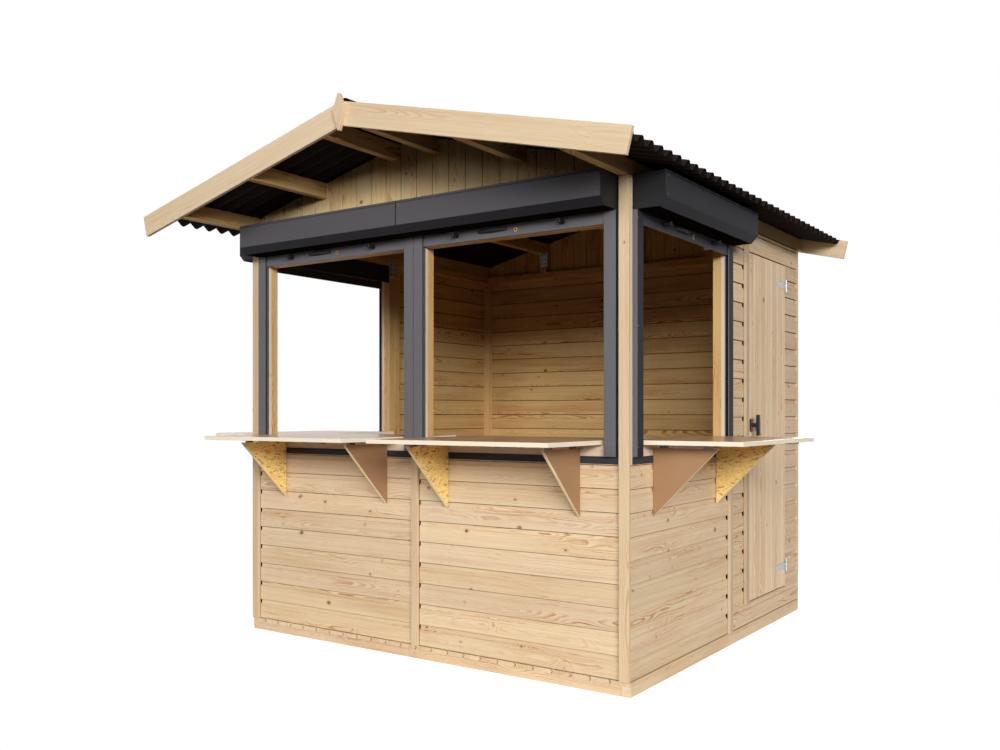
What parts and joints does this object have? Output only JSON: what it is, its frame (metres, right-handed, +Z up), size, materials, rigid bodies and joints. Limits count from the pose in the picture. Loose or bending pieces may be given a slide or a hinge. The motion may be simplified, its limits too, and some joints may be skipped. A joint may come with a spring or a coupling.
{
  "type": "wooden market stall",
  "caption": "Board-clad wooden market stall with a gable roof of corrugated sheets, roller shutters and counters on the front and sides, and a hinged door at the rear of the right side.",
  "frame": {"origin": "middle of the footprint, on the ground, at the underside of the middle floor bearer", "axes": "+X to the right along the front, +Y from the front to the back, +Z up"},
  "size_m": [3.33, 2.987, 2.6897],
  "materials": {
    "pine": "planed, unpainted softwood",
    "floor_pine": "planed, unpainted softwood",
    "osb": "raw strand board, film on one face",
    "film_ply": "brown film-faced board with a pale edge",
    "anthracite": "satin powder coat",
    "bitumen": "matt corrugated bitumen fibre sheet",
    "black_rubber": "matt",
    "black_plastic": "satin moulded",
    "brass": "turned",
    "dark_handle": "dark satin lacquer",
    "galvanized": "zinc plated"
  },
  "bodies": {
    "root": {"back_wall": "pine", "barge_boards": "pine", "corner_trims": "pine", "counter_brackets": "osb", "counter_fittings": "galvanized", "counter_front_left": "film_ply", "counter_front_right": "film_ply", "counter_left": "film_ply", "counter_right": "film_ply", "door_casing": "pine", "door_hinge_plates": "galvanized", "door_stops": "pine", "door_threshold_and_head": "pine", "finials": "pine", "floor_bearers": "floor_pine", "floor_boards": "floor_pine", "front_wall": "pine", "gables": "pine", "guide_rails": "anthracite", "joint_battens": "pine", "left_wall": "pine", "purlins": "pine", "ridge_cap": "bitumen", "right_wall_beside_door": "pine", "right_wall_front": "pine", "right_wall_under_and_over_door": "pine", "roof_sheet_left": "bitumen", "roof_sheet_right": "bitumen", "shutter_box_front_left": "anthracite", "shutter_box_front_right": "anthracite", "shutter_box_left": "anthracite", "shutter_box_right": "anthracite", "shutter_end_slats": "anthracite", "shutter_locks": "brass", "shutter_pulls": "black_plastic", "shutter_stops": "black_rubber", "wall_posts": "pine", "wall_rails": "pine", "window_linings_level": "pine", "window_linings_upright": "pine", "window_sills": "anthracite"},
    "door": {"door_leaf": "pine", "door_hinge_straps": "galvanized", "door_handle": "dark_handle"}
  },
  "joints": [
    {"name": "door_hinge", "type": "hinge", "parent": "root", "child": "door", "pos_m": [1.202, 0.9125, 0], "axis": [0, 0, 1], "range_deg": [0, 110]}
  ]
}
